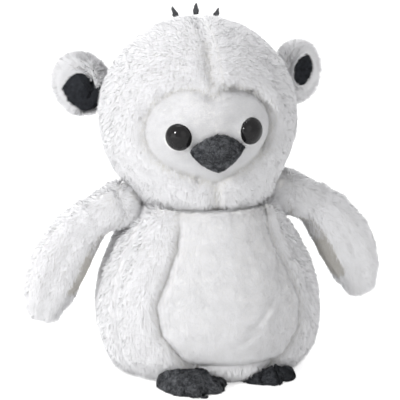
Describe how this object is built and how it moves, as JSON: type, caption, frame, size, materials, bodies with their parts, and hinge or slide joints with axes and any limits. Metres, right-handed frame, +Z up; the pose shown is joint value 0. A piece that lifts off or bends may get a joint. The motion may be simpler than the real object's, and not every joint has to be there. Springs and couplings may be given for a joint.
{
  "type": "plush owl",
  "caption": "Standing plush owl with a round hooded head, cupped ears, curved drooping wings, a bulging belly panel and lobed feet.",
  "frame": {"origin": "on the surface the owl stands on, at the centre of its bounding box", "axes": "+Z up, the owl faces -Y, and its own left is +X"},
  "size_m": [0.2468, 0.1402, 0.2417],
  "materials": {
    "long_fur": "white long-pile fur fabric",
    "short_fur": "off-white short-pile plush fabric",
    "minky": "dark grey curled short-pile fabric",
    "felt": "dark grey felt",
    "eye": "glossy black moulded plastic",
    "washer": "plain nylon",
    "stuffing": "polyester fibre filling",
    "pellet_bag": "woven bag of plastic pellets"
  },
  "bodies": {
    "torso": {"belly_panel": "short_fur", "body_side_panel_left": "long_fur", "body_side_panel_right": "long_fur", "body_back_panel_left": "long_fur", "body_back_panel_right": "long_fur", "base_panel": "short_fur", "body_stuffing": "stuffing", "pellet_bag": "pellet_bag", "foot_left_upper": "minky", "foot_left_sole": "minky", "foot_left_stuffing": "stuffing", "foot_right_upper": "minky", "foot_right_sole": "minky", "foot_right_stuffing": "stuffing"},
    "neck": {"neck_stuffing": "stuffing"},
    "head": {"face_panel": "short_fur", "hood_panel_left": "long_fur", "hood_panel_right": "long_fur", "head_back_panel": "long_fur", "head_stuffing": "stuffing", "eye_left": "eye", "eye_right": "eye", "eye_washer_left": "washer", "eye_washer_right": "washer", "beak_upper": "minky", "beak_lower": "minky", "beak_stuffing": "stuffing", "crest_felt_left": "felt", "crest_felt_middle": "felt", "crest_felt_right": "felt"},
    "ear_left": {"ear_left_outer": "long_fur", "ear_left_lining": "minky"},
    "ear_right": {"ear_right_outer": "long_fur", "ear_right_lining": "minky"},
    "wing_left": {"wing_left_outer": "long_fur", "wing_left_inner": "short_fur", "wing_left_stuffing": "stuffing"},
    "wing_right": {"wing_right_outer": "long_fur", "wing_right_inner": "short_fur", "wing_right_stuffing": "stuffing"}
  },
  "joints": [
    {"name": "neck_turn", "type": "hinge", "parent": "torso", "child": "neck", "pos_m": [-0.00062, 0.00471, 0.17001], "axis": [0, 0, 1], "range_deg": [-15, 25], "stiffness_Nm_per_rad": 0.3},
    {"name": "neck_nod", "type": "hinge", "parent": "neck", "child": "head", "pos_m": [-0.00062, 0.00471, 0.17001], "axis": [1, 0, 0], "range_deg": [-8, 8], "stiffness_Nm_per_rad": 0.3},
    {"name": "ear_left_fold", "type": "hinge", "parent": "head", "child": "ear_left", "pos_m": [0.06127, 0.02311, 0.18917], "axis": [-0.1459, -0.0658, 0.9871], "range_deg": [-15, 15], "stiffness_Nm_per_rad": 0.02},
    {"name": "ear_right_fold", "type": "hinge", "parent": "head", "child": "ear_right", "pos_m": [-0.0633, 0.04231, 0.18426], "axis": [0.0209, -0.0877, 0.9959], "range_deg": [-15, 15], "stiffness_Nm_per_rad": 0.02},
    {"name": "wing_left_lift", "type": "hinge", "parent": "torso", "child": "wing_left", "pos_m": [0.06145, 0.00371, 0.11385], "axis": [0, -1, 0], "range_deg": [-4, 60], "stiffness_Nm_per_rad": 0.12},
    {"name": "wing_right_lift", "type": "hinge", "parent": "torso", "child": "wing_right", "pos_m": [-0.06326, 0.00371, 0.11134], "axis": [0, 1, 0], "range_deg": [-4, 60], "stiffness_Nm_per_rad": 0.12}
  ]
}
